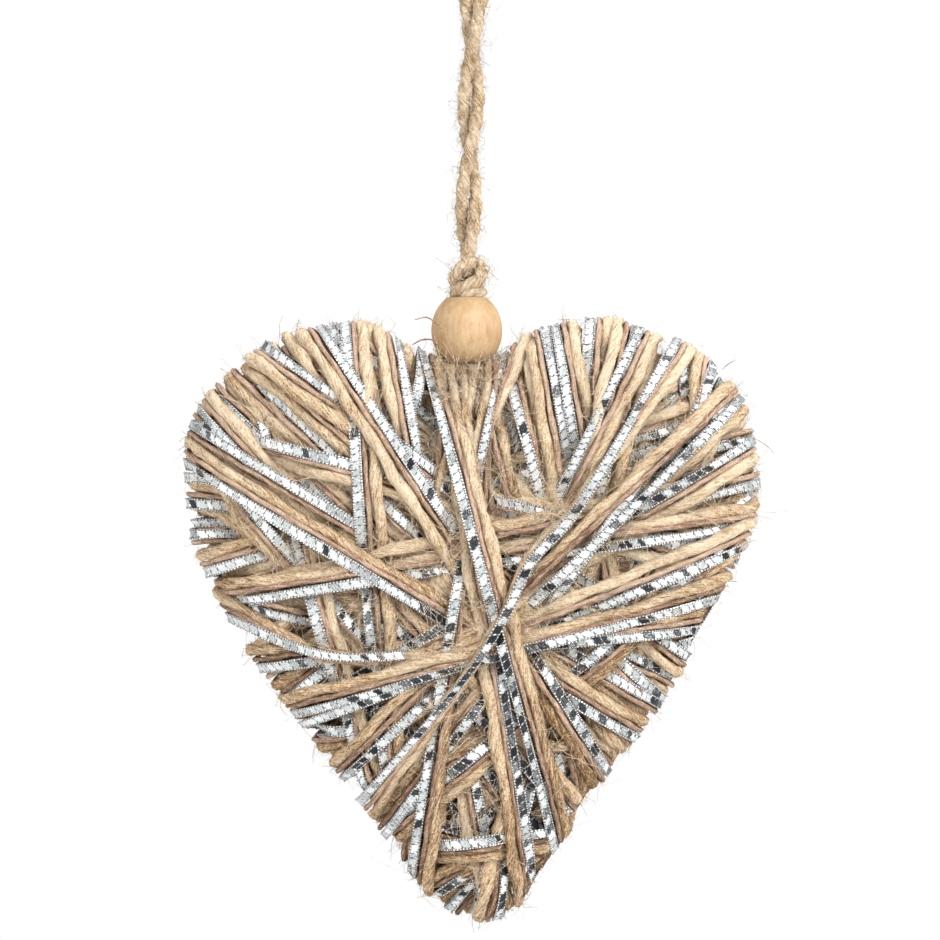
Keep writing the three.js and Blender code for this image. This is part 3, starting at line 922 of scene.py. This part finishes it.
def ribbon_rings(path):
    """Two rings for each cell: places, kept rings and helpers for the finish."""
    rng = np.random.default_rng(7)
    total = path.gone[-1]
    count = int(total / CELL_LENGTH)
    starts = np.concatenate([[0], rng.uniform(0.65, 1.35, count).cumsum()]) * CELL_LENGTH
    starts = starts * total / starts[-1]
    gone = np.stack([starts[:-1] + RUNG_LENGTH, starts[1:]], 1).ravel()
    middle = at_distance(path.middle, gone)
    ahead = directions(middle)
    side = unit(np.cross(ahead, unit(read_off(gone, path.gone, path.up))))
    up = np.cross(side, ahead)
    roll = (np.radians(13) * slow_noise(gone, 14, 8))[:, None]
    side, up = side * np.cos(roll) + up * np.sin(roll), up * np.cos(roll) - side * np.sin(roll)
    width = RIBBON_HALF_WIDTH * np.clip(1 + 0.14 * slow_noise(gone, 18, 9), 0.7, 1.15)
    across, height = np.array(RIBBON_SECTION).T
    sides = len(across)
    # Each cell's film is tilted across and along, less so on the left, and both its rings share the tilt
    x, z = middle[::2, 0], middle[::2, 2]
    bare = np.clip((x + 30) / 40, 0, 1)
    tilt_across = np.repeat(rng.normal(0, 0.14, count) * (0.5 + 0.5 * bare), 2)[:, None]
    tilt_along = rng.normal(0, 0.11, count) * (0.5 + 0.5 * bare)
    tilt_along = np.stack([-tilt_along, tilt_along], 1).ravel()[:, None]
    film = np.isin(np.arange(sides), FILM_CORNERS)
    raised = height + film * (tilt_across * across * 1.4 + tilt_along)
    places = (
        middle[:, None]
        + side[:, None] * (across * width[:, None])[..., None]
        + up[:, None] * raised[..., None]
        + ahead[:, None] * (across * RUNG_SLANT)[:, None]
    )
    rung = RUNG_LENGTH / CELL_LENGTH
    cell = np.stack([np.arange(count), np.arange(count) + 1 - rung], 1).reshape(-1, 1) + rung / 2
    fibre = np.stack(np.broadcast_arrays(cell, across, np.repeat(bare, 2)[:, None]), 2)
    # The film is creased and pale on the left of the heart. Each cell's colour is a painted reflection,
    # drawn pale or black at random; black cells, which stand for the dark room mirrored, are painted more
    # often near the heart's middle and towards its right.
    painted_black_share = 0.04 + 0.66 * np.exp(-((x - 5) / 30) ** 2 - ((z + 38) / 44) ** 2)
    painted_black_share = painted_black_share + 0.22 * np.clip((x - 30) / 45, 0, 1)
    painted_black_cell = rng.random(count) < painted_black_share
    bright = np.where(painted_black_cell, rng.uniform(0.0, 0.36, count), rng.uniform(0.48, 0.92, count))
    shade = np.repeat(np.repeat(bright, 2)[:, None], sides, 1)
    keep = np.interp(gone, path.gone, path.seen * 1.0) > 0.4
    return places, keep, {"fibre": fibre, "shade": shade}


ribbon = ribbon_rings(paths["silver_ribbon"])
build_rings("silver_ribbon", *ribbon, silver_finish, "silver_ribbon", "silver_ribbon", parts=2, smooth=False)

# %% [markdown]
# ## Core
# Below all turns there is only packed yarn in the dark. A plain closed heart fills that space a few
# millimetres under the skin, so that no gap between the turns lets the light through. Its yarn is given a
# low shade, which paints it darker than the turns above: painted shade.

# %% Core
CORE_RINGS = [0, 0.01, 0.04, 0.09, 0.16, 0.28, 0.45, 0.65, 0.85]


def core():
    spots = rim[::6]
    rings = []
    for face, inwards in [(FRONT, v) for v in CORE_RINGS[::-1]] + [(BACK, v) for v in CORE_RINGS[1:]]:
        foot, up, _ = skin(spots * (1 - inwards), face)
        rings.append(foot - up * CORE_DROP)
    places = np.array(rings)
    # The low shade paints the core's yarn darker: painted shade below the turns.
    helpers = {"fibre": places * (0.6, 1, 1), "shade": np.full(places.shape[:2], 0.1)}
    keep = np.ones(len(rings), bool)
    build_rings("packed_core", places, keep, helpers, jute_finish, "jute", "jute_winding")


core()

# %% [markdown]
# ## Bead
# The bead is turned from pale wood and sanded, with a flat round the hole. Its fine grain runs up and
# down, with short dark pores and a faint band where the wood's growth rings pass.

# %% Bead finish
def wood_finish():
    finish = Finish("turned_wood")
    place = finish.node("TexCoord", {}, output="Object")
    grain = finish.noise(place, (1, 1, 0.16), 900, 4, 0.65)
    pores = finish.noise(place, (1, 1, 0.2), 2600, 2, 0.6)
    band = finish.noise(place, (0.6, 0.6, 1), 110, 2, 0.5)
    tone = grain * 0.45 + band * 0.6 - 0.03
    colour = finish.ramp(
        tone, (0.3, (0.33, 0.19, 0.08)), (0.5, (0.51, 0.335, 0.175)), (0.72, (0.64, 0.455, 0.28))
    )
    dots = (1 - pores.between(0.32, 0.42)) * 0.5
    colour = finish.mix(dots, colour, (0.34, 0.19, 0.09))
    return finish.surface(grain * 0.6 - dots, 0.06, Base_Color=colour, Roughness=0.5, Specular_IOR_Level=0.35)


# %% Bead
BEAD_CENTRE = np.array([-1.5, 0, -121])
BEAD_RADIUS = 10.1
BEAD_HALF_HEIGHT = 9.4
BEAD_HOLE = 4.6
BEAD_FLAT = 5.6
BEAD_SIDES = 72


def bead():
    flat_angle = math.acos(BEAD_FLAT / BEAD_RADIUS)
    angles = np.linspace(-flat_angle, flat_angle, 28)
    rise = BEAD_HALF_HEIGHT * np.sin(angles) / math.sin(flat_angle)
    outside = np.stack([BEAD_RADIUS * np.cos(angles), rise], 1)
    lip = np.array([(BEAD_HOLE + 0.25, BEAD_HALF_HEIGHT - 0.02), (BEAD_HOLE, BEAD_HALF_HEIGHT - 0.35)])
    inside = np.array([(BEAD_HOLE, BEAD_HALF_HEIGHT * v) for v in (0.6, 0.2, -0.2, -0.6)])
    profile = np.vstack([outside, lip, inside, lip[::-1] * (1, -1)])
    radius, height = profile.T[:, :, None]
    around = np.linspace(0, 2 * math.pi, BEAD_SIDES, endpoint=False)
    places = np.stack([radius * np.cos(around), radius * np.sin(around), np.repeat(height, BEAD_SIDES, 1)], 2)
    k = np.arange(BEAD_SIDES)
    after = (k + 1) % BEAD_SIDES
    row = np.arange(len(profile))[:, None] * BEAD_SIDES
    above = np.roll(row, -1, 0)
    loops = np.stack([row + k, row + after, above + after, above + k], 2).ravel()
    where = places.reshape(-1, 3) + BEAD_CENTRE
    turned = mesh_object("wooden_bead", where, loops, np.full(len(where), 4), wood_finish(), {})
    belongs(turned, "bead_wood", "wooden_bead")


bead()

# %% [markdown]
# ## Knot
# The doubled cord is tied in one knot that sits on the bead. An arc goes over its top on the left, a band
# crosses it from the upper right to the lower left, and a ring lies below them where the ends go down into
# the bead.

# %% Knot
KNOT_CENTRE = np.array([-1.3, 0, -106.0])
KNOT_STRAND = 3.5
KNOT_ARC = [
    (0.8, -1.2, -101.8), (-1.8, -2.6, -102.4), (-4.4, -2.2, -104.6), (-4.7, -0.8, -107.6),
    (-2.4, 1.8, -109.4), (1.0, 2.8, -108.0), (2.6, 1.5, -105.0), (2.0, 0.4, -102.6),
]
KNOT_BAND = [
    (2.6, -1.6, -104.8), (1.5, -3.4, -106.8), (-1.6, -3.8, -108.4), (-4.2, -2.0, -109.6),
    (-3.6, 1.6, -108.2), (-0.8, 3.4, -105.6), (1.8, 2.2, -103.8),
]


def knot_lines():
    t = np.linspace(0, 2 * math.pi, 160)
    ring = np.stack([3.5 * np.cos(t), 3.3 * np.sin(t), 0.4 * np.sin(t + 1)], 1) + (-1.2, 0, -110.4)
    tails = [np.array([(-1.4 + s * 1.75, 0, -109), (-1.5 + s * 1.8, 0, -129.5)]) for s in (-1, 1)]
    shoulders = [
        np.vstack([foot, foot + (-0.2, 0, -2), KNOT_CENTRE + (0, 0, 1)]) - (0, 0, 0.1)
        for foot in (cord_route[0], cord_route[-1])
    ]
    loops = [smooth_line(points, closed=True) for points in (KNOT_ARC, KNOT_BAND)]
    return [*loops, ring, *(smooth_line(line) for line in tails + shoulders)]


cord_piece("cord_knot", knot_lines(), cord_finish, "cord", "cord_knot", KNOT_STRAND, lay_length=8, sides=9)

# %% [markdown]
# ## Fibres
# Jute sheds. Every strand has fine fibres that lie along it, cross to the next one or stand off into the
# air, and at the outline they make the soft edge that tells the eye this is jute. Each one is a thin,
# closed, three-sided thread that starts in a strand's skin.

# %% Loose fibres
TALLEST = 2.2               # how far a fibre may stand off, in millimetres


def fibres(
    name, skin_parts, count, seed, length, radius, stand, material=jute_finish, slot="jute",
    bends=4, curl=0.5, pale_share=0.65,
):
    """Threads that start at random roots, run along the skin and rise out of it."""
    rng = np.random.default_rng(seed)
    roots, ahead, out = skin_parts
    pick = rng.integers(0, len(roots), count)
    root, ahead, out = roots[pick], ahead[pick] * rng.choice([-1, 1], count)[:, None], out[pick]
    aside = np.cross(ahead, out)
    reach = np.minimum(rng.gamma(3.0, length / 3, count), length * 2.2)[:, None]
    swing = rng.normal(0, 1.3, count)[:, None]
    heading = unit(ahead + aside * swing)
    at_rim = np.abs(root[:, 1]) < 12
    reach = reach * np.where(at_rim, 0.6, 1)[:, None]
    lift = np.minimum(np.abs(rng.normal(0, stand, count)), 2.2 * stand)[:, None]
    lift = np.minimum(lift * np.where(at_rim, 1.8, 1)[:, None], TALLEST / reach)
    phase = rng.uniform(0, 6.28, (count, 2))
    t = np.linspace(0, 1, bends)
    curve = np.array([
        root - out * 0.15 + reach * (
            heading * s + out * (lift * s * (1.6 - s) - 0.25 * s * s)
            + aside * (curl * 0.45 * (np.sin(phase[:, :1] + 4 * s) - np.sin(phase[:, :1])))
            + ahead * curl * 0.3 * (np.sin(phase[:, 1:] + 5 * s) - np.sin(phase[:, 1:]))
        )
        for s in t
    ]).transpose(1, 0, 2)
    along = unit(np.gradient(curve, axis=1))
    side = unit(np.cross(along, out[:, None] + 0.01))
    up = np.cross(side, along)
    thin = radius * rng.uniform(0.6, 1.3, count)[:, None] * (1 - 0.55 * t**3)
    rings = round_rings(curve, side, up, thin[..., None], 3)
    rings = np.concatenate([rings, rings[:, -1:]], 1).reshape(-1, 3, 3)
    keep = np.tile([True] * bends + [False], count)
    pale = rng.random(count) < pale_share
    tint = np.where(pale, rng.uniform(1.2, 2.2, count), rng.uniform(-0.5, 0.6, count))
    shade = np.repeat(np.repeat(tint, bends + 1)[:, None], 3, 1)
    build_rings(name, rings, keep, {"fibre": rings * 0.4, "shade": shade}, material, slot)


def skin_roots(path, rings):
    """Places, directions and outward directions of a yarn's outer side, where it is in sight."""
    places, keep, _, outwards = rings
    shown = keep[:, None] & ((outwards * path.up[:, None]).sum(2) > -0.2)
    ring, side = np.nonzero(shown)
    return places[ring, side], directions(path.middle)[ring], outwards[ring, side]


def near(skin_parts, place, reach):
    chosen = np.linalg.norm(skin_parts[0] - np.array(place), axis=1) < reach
    return [values[chosen] for values in skin_parts]


jute_skin = skin_roots(paths["jute_yarn"], jute_rings)
brown_skin = skin_roots(paths["brown_yarn"], brown_rings)
rim_skin = [values[np.abs(jute_skin[0][:, 1]) < 11] for values in jute_skin]
fibres("jute_fuzz", jute_skin, 14000, 50, 3.4, 0.07, 0.16, bends=3, curl=0.9)
fibres("rim_fuzz", rim_skin, 5000, 51, 4.2, 0.065, 0.7, curl=0.9, pale_share=0.4)
fibres("brown_fuzz", brown_skin, 2200, 60, 3.0, 0.06, 0.14, brown_finish, "brown_yarn", bends=3)
fibres("long_fibres", jute_skin, 350, 52, 5.5, 0.055, 0.14, bends=6, curl=1.0)


def gap_roots(count, seed, depth_mm):
    """Places spread over both faces, a little below the skin, with any direction along it."""
    rng = np.random.default_rng(seed)
    parts = []
    for face in (FRONT, BACK):
        spots = rng.uniform(rim.min(0), rim.max(0), (count * 2, 2))
        away = spots[:, None] - rim[None]
        here, there = away[:, :-1], away[:, 1:]
        square = here[..., 0] * there[..., 1] - here[..., 1] * there[..., 0]
        # Seen from a spot inside the outline, the rim goes all the way round
        seen_round = np.arctan2(square, (here * there).sum(2)).sum(1)
        spots = spots[np.abs(seen_round) > 3]
        spots = spots[depth_and_outwards(spots)[0] > 14]
        foot, up, _ = skin(spots, face)
        any_way = unit(np.cross(up, rng.standard_normal(up.shape)))
        parts.append((foot - up * depth_mm, any_way, up))
    return joined(parts)


fibres("gap_tangle", gap_roots(2600, 55, 1.6), 2800, 56, 5.0, 0.07, 0.16, bends=5, curl=1.6, pale_share=0.9)

# %% [markdown]
# The cord and its knot are hairy too. On the right of the heart the photograph shows one place where the
# jute has frayed into a tuft.

# %% Fibres of the cord and a frayed place
FRAYED_PLACE = (21.7, -19.0, 12.8)      # from the heart's centre


def round_roots(line, radius, step=0.4):
    """Roots all round a line."""
    line = evenly(line, int(distance_along(line)[-1] / step)) - HEART_CENTRE
    side, up = carried_frame(line)
    angle = np.arange(len(line)) * 2.4
    out = side * np.cos(angle)[:, None] + up * np.sin(angle)[:, None]
    return line + out * radius, directions(line), out


cord_roots = joined([round_roots(cord_route, 1.7), *(round_roots(line, 1.9) for line in knot_lines()[:3])])
fibres("cord_fuzz", cord_roots, 2200, 70, 3.6, 0.06, 0.7, cord_finish, "cord", curl=0.9, pale_share=0.4)
fibres("frayed_place", near(jute_skin, FRAYED_PLACE, 6), 260, 71, 3.2, 0.07, 0.3, cord_finish, pale_share=1)

# %% [markdown]
# ## Turns in the cleft
# Under the bead a few turns pass straight over the cleft. They come up out of the winding, lean over one
# another and make a soft bed that the bead sits in, with a tuft of fibres round its foot.

# %% Turns in the cleft
# Where each turn passes over, how far it leans aside further down, and how much it lies over its neighbours
CLEFT_TURNS = [
    (-9.6, 1.6, 0), (-7.7, -0.4, 1.2), (-6.1, 1.3, 1.3), (-4.2, -1.5, 0.2), (-2.5, 0.7, 1.0),
    (-0.6, 1.7, 0), (1.2, -1.9, 1.4), (2.9, 0.4, 0.3), (4.9, -1.2, 1.2), (6.8, -0.5, 0.4),
]


def turn_in_cleft(x, lean, over):
    """From the front up over the cleft and down the back."""
    away = (x + 1.5) ** 2
    front = [
        (x + lean * 7, -13.0 - over, -172), (x + lean * 4, -12.4 - over, -156),
        (x + lean * 1.5, -11.8 - over, -144), (x + lean * 0.5, -10.8 - 0.5 * over, -137),
        (x, -7.8, -132.8 + 0.03 * away),
    ]
    back = [(x - (px - x), -y, z) for px, y, z in front[::-1]]
    return smooth_line(front + [(x, 0, -132.2 + 0.045 * away)] + back, 14)


cleft_lines = [turn_in_cleft(*turn) for turn in CLEFT_TURNS]
cord_piece("jute_in_cleft", cleft_lines[0::2], jute_finish, "jute", "jute_winding", 2.7, 30, 7, 1.1)
cord_piece("brown_in_cleft", cleft_lines[1::2], brown_finish, "brown_yarn", "brown_yarn", 1.7, 30, 7, 1.1)
cleft_roots = joined(round_roots(line[len(line) // 4:-len(line) // 4], 1.4, 0.2) for line in cleft_lines)
fibres("cleft_tuft", cleft_roots, 1900, 72, 5.0, 0.075, 0.8, bends=3, curl=1.2, pale_share=0.7)

# %% [markdown]
# ## Stray ends
# Five loose ends are large enough to be seen one by one, such as the two brown threads left of the bead.
# Each follows a line of its own through a few points.

# %% Stray ends
STRAY_RINGS = 22
STRAYS = {
    "thread_over_bead": (
        0.22, [(-16.2, -9.5, -118.2), (-12.8, -11.0, -117.6), (-9.2, -12.2, -120.2), (-7.7, -11.6, -122.6)]
    ),
    "thread_beside_bead": (
        0.25, [(-17.0, -9.0, -125.3), (-14.0, -10.2, -123.9), (-11.4, -10.2, -123.9), (-9.9, -9.5, -125.4)]
    ),
    "pale_fibre_on_bead": (0.14, [(-4.6, -10.4, -128.2), (-2.6, -10.8, -129.2), (0.2, -10.2, -128.6)]),
    "fibre_on_right_lobe": (0.13, [(71.0, -6.0, -132.2), (72.8, -7.0, -130.6), (75.0, -6.5, -129.4)]),
    "fibre_at_right_side": (0.09, [(80.0, -3.0, -151.6), (83.2, -3.5, -153.4), (86.0, -3.0, -156.0)]),
}


def stray(name, radius, places, *look):
    """A loose end: a thin closed thread, thinner at both ends."""
    line = evenly(smooth_line(places), STRAY_RINGS)
    thin = radius * (0.35 + 0.65 * np.sin(np.linspace(0.15, math.pi - 0.15, STRAY_RINGS)))
    rings = round_rings(line, *carried_frame(line, np.array([0.13, 0.3, 1.0])), thin[:, None], 6)
    helpers = {"fibre": rings * 0.8, "shade": np.full(rings.shape[:2], 0.2)}
    build_rings(name, rings - HEART_CENTRE, np.ones(STRAY_RINGS, bool), helpers, *look)


for title, (radius, places) in STRAYS.items():
    look = (jute_finish, "jute") if "pale" in title else (brown_finish, "brown_yarn")
    stray(title, radius, places, *look)

# %% [markdown]
# ## Studio
# The photograph has a plain white background, soft light from the upper right, and a dark room behind the
# camera. The ribbon's black cells are painted: their dark colour stands for that room's reflection. So
# the surroundings are bright behind and beside the heart and dark towards the front, and the camera sees
# plain white past the heart. A pale floor lies below the picture and throws some light up.

# %% Surroundings, lights and floor
scene = bpy.context.scene
scene.view_settings.view_transform = "Standard"
scene.view_settings.look = "None"


class Room(Finish):
    """The world's nodes, made the same way as a finish."""

    def __init__(self):
        self.tree = scene.world.node_tree
        self.tree.nodes.clear()


scene.world = bpy.data.worlds.new("room")
scene.world.use_nodes = True
room = Room()
direction = room.node("TexCoord", {}, output="Generated")
towards_back = room.node("SeparateXYZ", {}, {0: direction}, output=1)
glow = towards_back.between(-0.93, -0.25)
around = room.mix(glow, (0.1, 0.1, 0.105), (0.88, 0.88, 0.9))
lit = room.node("Background", {}, {"Color": around, "Strength": 0.62})
plain = room.node("Background", {}, {"Color": (1, 1, 1), "Strength": 1})
seen_by_camera = room.node("LightPath", {}, output="Is Camera Ray")
shown = room.node("MixShader", {}, {0: seen_by_camera, 1: lit, 2: plain})
room.node("OutputWorld", {}, {"Surface": shown})


def softbox(name, place, size, power):
    data = bpy.data.lights.new(name, "AREA")
    data.shape = "RECTANGLE"
    data.size, data.size_y = size
    data.energy = power
    light = bpy.data.objects.new(name, data)
    light.location = place
    aim = Vector((0, 0, -0.18)) - Vector(place)
    light.rotation_euler = aim.to_track_quat("-Z", "Y").to_euler()
    scene.collection.objects.link(light)


softbox("key_light", (0.62, -0.62, 0.3), (0.7, 0.7), 13)
softbox("fill_light", (-0.95, -0.7, 0.1), (0.5, 0.8), 8)
softbox("top_light", (0.1, 0.1, 0.9), (0.8, 0.5), 5)

FLOOR_Z = -0.40
FLOOR_RADIUS = 950          # in millimetres
FLOOR_SIDES = 96
floor_finish = Finish("floor")
speckle = floor_finish.noise(floor_finish.node("TexCoord", {}, output="Object"), (1, 1, 1), 60)
floor_colour = floor_finish.mix(speckle, (0.80, 0.80, 0.79), (0.84, 0.84, 0.83))
floor_look = floor_finish.surface(speckle, 0.05, Base_Color=floor_colour, Roughness=0.7)
turn = np.linspace(0, 2 * math.pi, FLOOR_SIDES, endpoint=False)
level = np.full(FLOOR_SIDES, FLOOR_Z / MM)
floor_edge = np.stack([FLOOR_RADIUS * np.cos(turn), FLOOR_RADIUS * np.sin(turn), level], 1)
corners, sizes = np.arange(FLOOR_SIDES), np.array([FLOOR_SIDES])
floor = mesh_object("floor", floor_edge, corners, sizes, floor_look, {}, smooth=False)
floor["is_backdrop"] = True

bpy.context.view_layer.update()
total = sum(triangles_of(o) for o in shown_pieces() if o.type == "MESH" and not o.hide_render)
print("all pieces:", total, "triangles")
